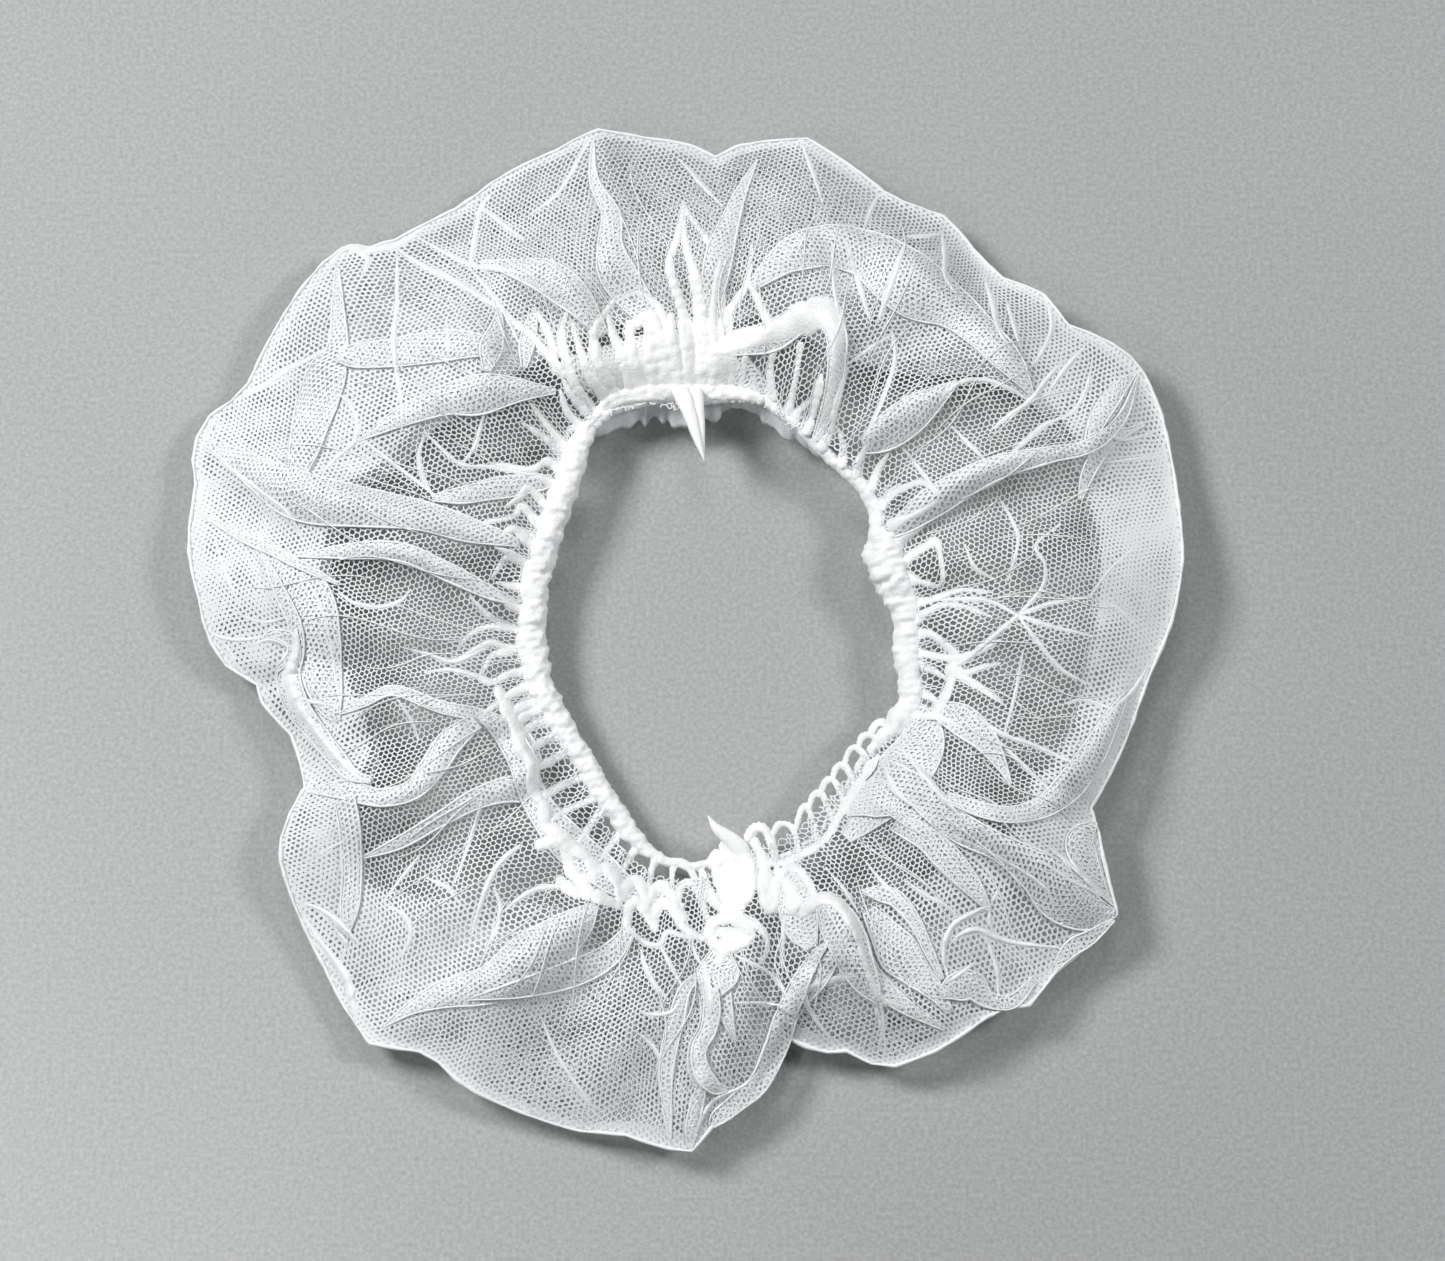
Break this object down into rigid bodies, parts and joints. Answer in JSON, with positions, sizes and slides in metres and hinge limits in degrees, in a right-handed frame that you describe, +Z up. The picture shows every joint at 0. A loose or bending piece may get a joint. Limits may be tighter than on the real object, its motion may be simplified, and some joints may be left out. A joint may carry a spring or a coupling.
{
  "type": "disposable facial cap",
  "caption": "Ruffled ring of fine white net gathered on a round elastic band, open in the middle, with a tied knot at each end of the eye.",
  "frame": {"origin": "on the table, under the middle of the cap's outline", "axes": "+Z up from the table, +Y from the bottom knot towards the top knot, +X to the right in the picture"},
  "size_m": [0.2864, 0.302, 0.041],
  "materials": {
    "net": "fine white hexagonal net of soft thread",
    "band": "dense gathered white net over elastic"
  },
  "bodies": {
    "root": {"net_ruffle": "net", "elastic_band": "band", "top_knot": "band", "bottom_knot": "band", "shirring_cord": "band", "rolled_loops": "band", "tie_tail": "band"}
  },
  "joints": []
}
